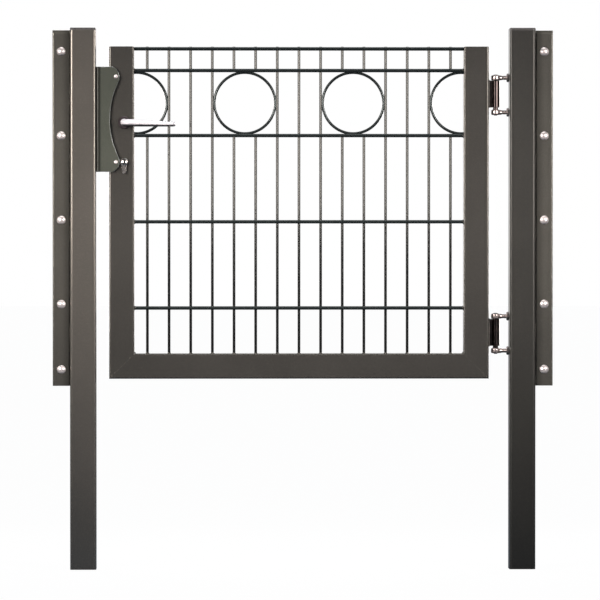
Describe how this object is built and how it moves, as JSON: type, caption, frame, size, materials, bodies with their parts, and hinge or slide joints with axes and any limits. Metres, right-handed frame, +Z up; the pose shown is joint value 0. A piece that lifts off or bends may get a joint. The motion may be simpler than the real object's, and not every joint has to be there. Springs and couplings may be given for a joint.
{
  "type": "fence gate",
  "caption": "Hinged garden gate between square steel posts: tubular frame, double-rod mesh with a ring band, lever lock, strike plate and clamp bars for the fence panels.",
  "frame": {"origin": "centre of the hinge post's bottom end", "axes": "+Z up along the posts; +X from the latch post to the hinge post; +Y away from the side that carries the strike plate's leaf, the way the gate opens"},
  "size_m": [1.1535, 0.149, 1.249],
  "materials": {
    "post_paint": "grey-brown micaceous powder coat, satin",
    "rail_paint": "grey-brown micaceous powder coat, satin",
    "frame_paint": "dark grey-brown micaceous powder coat, satin",
    "mesh_paint": "dark grey powder coat over galvanised wire, satin",
    "strike_paint": "grey powder coat, satin",
    "cap_plastic": "moulded dark grey plastic",
    "rubber": "black rubber, matt",
    "hinge_steel": "stainless steel, turned",
    "lock_steel": "stainless steel, brushed",
    "cylinder_nickel": "nickel-plated brass, satin",
    "rose_plastic": "dark plastic ring",
    "lever_satin": "satin anodised aluminium"
  },
  "bodies": {
    "posts": {"hinge_post": "post_paint", "hinge_post_cap": "cap_plastic", "hinge_side_angle": "rail_paint", "hinge_side_clamp_bar": "rail_paint", "latch_post": "post_paint", "latch_post_cap": "cap_plastic", "latch_side_angle": "rail_paint", "latch_side_clamp_bar": "rail_paint", "strike_plate": "strike_paint", "upper_buffer": "rubber", "lower_buffer": "rubber", "upper_hinge_top_eye_bolt": "hinge_steel", "upper_hinge_bottom_eye_bolt": "hinge_steel", "upper_hinge_nuts": "hinge_steel", "upper_hinge_pin": "hinge_steel", "upper_hinge_collar": "hinge_steel", "lower_hinge_top_eye_bolt": "hinge_steel", "lower_hinge_bottom_eye_bolt": "hinge_steel", "lower_hinge_nuts": "hinge_steel", "lower_hinge_pin": "hinge_steel", "lower_hinge_collar": "hinge_steel"},
    "leaf": {"upper_hinge_barrel": "hinge_steel", "lower_hinge_barrel": "hinge_steel", "latch_stile": "frame_paint", "hinge_stile": "frame_paint", "bottom_rail": "frame_paint", "latch_stile_cap": "frame_paint", "hinge_stile_cap": "frame_paint", "mesh_panel": "mesh_paint", "lock_case": "lock_steel", "latch": "lock_steel", "dead_bolt": "lock_steel", "lock_cylinder": "cylinder_nickel", "front_rose": "rose_plastic", "back_rose": "rose_plastic"},
    "handle": {"spindle": "lock_steel", "front_lever": "lever_satin", "back_lever": "lever_satin"}
  },
  "joints": [
    {"name": "gate_swing", "type": "hinge", "parent": "posts", "child": "leaf", "pos_m": [-0.061, 0, 0], "axis": [0, 0, 1], "range_deg": [-95, 0]},
    {"name": "handle_turn", "type": "hinge", "parent": "leaf", "child": "handle", "pos_m": [-0.9185, 0, 1.031], "axis": [0, 1, 0], "range_deg": [0, 40], "stiffness_Nm_per_rad": 2, "springref_deg": -17.19}
  ]
}
